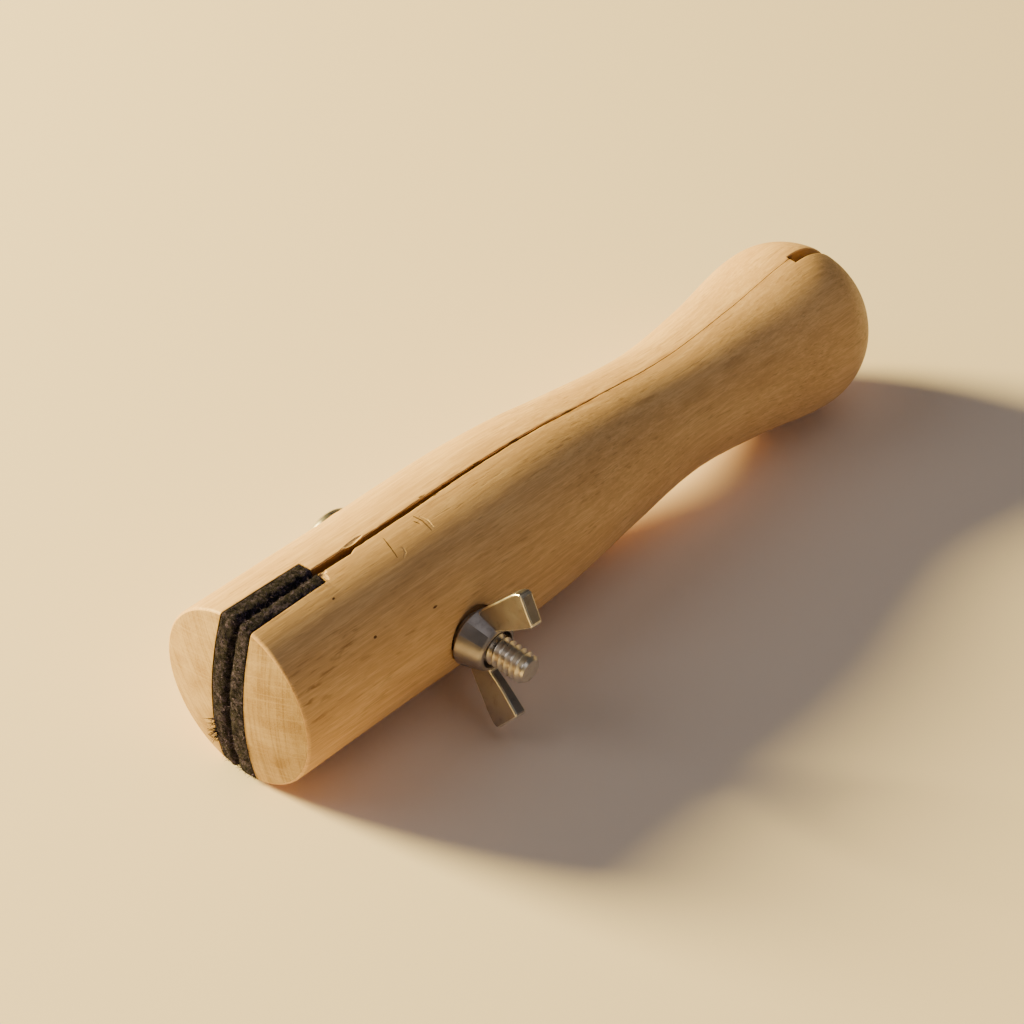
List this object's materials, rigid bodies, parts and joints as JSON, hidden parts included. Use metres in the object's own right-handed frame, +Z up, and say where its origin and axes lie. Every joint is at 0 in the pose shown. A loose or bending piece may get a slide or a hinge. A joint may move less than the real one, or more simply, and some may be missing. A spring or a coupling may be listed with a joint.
{
  "type": "wooden hand clamp",
  "caption": "Turned wooden hand clamp split lengthwise, with black felt jaw pads, a carriage bolt, a wing nut and an opening spring.",
  "frame": {"origin": "centre of the bounding box at the level the tool lies on", "axes": "+X along the tool from the jaws towards the butt, +Y from the wing nut towards the bolt head, +Z up in the plane of the seam"},
  "size_m": [0.1399, 0.042, 0.029],
  "materials": {
    "beech": "bare turned wood, dry and slightly worn, darker in the saw cut",
    "black_felt": "dense charcoal felt with a fuzzy cut edge",
    "nickel_plate": "warm nickel plate, satin, lightly worn",
    "spring_steel": "bare bright steel"
  },
  "bodies": {
    "far_half": {"far_jaw": "beech", "far_pad": "black_felt", "carriage_bolt": "nickel_plate", "fulcrum_pin": "spring_steel", "opening_spring": "spring_steel"},
    "near_half": {"near_jaw": "beech", "near_pad": "black_felt"},
    "washer": {"flat_washer": "nickel_plate"},
    "nut": {"wing_nut": "nickel_plate"}
  },
  "joints": [
    {"name": "nut_travel", "type": "slide", "parent": "far_half", "child": "washer", "axis": [0, -1, 0], "range_m": [0, 0.00583]},
    {"name": "nut_spin", "type": "hinge", "parent": "washer", "child": "nut", "pos_m": [-0.035, -0.0105, 0.0145], "axis": [0, -1, 0], "range_deg": [0, 1984]},
    {"name": "jaw_open", "type": "hinge", "parent": "far_half", "child": "near_half", "pos_m": [0.055, 0.00425, 0.0145], "axis": [0, 0, 1], "range_deg": [0, 3.51], "deforming": ["opening_spring"]}
  ],
  "couplings": [
    {"joint": "nut_spin", "follows": "nut_travel", "rad_per_m": 5938.7},
    {"joint": "jaw_open", "follows": "nut_travel", "rad_per_m": 10.49}
  ]
}
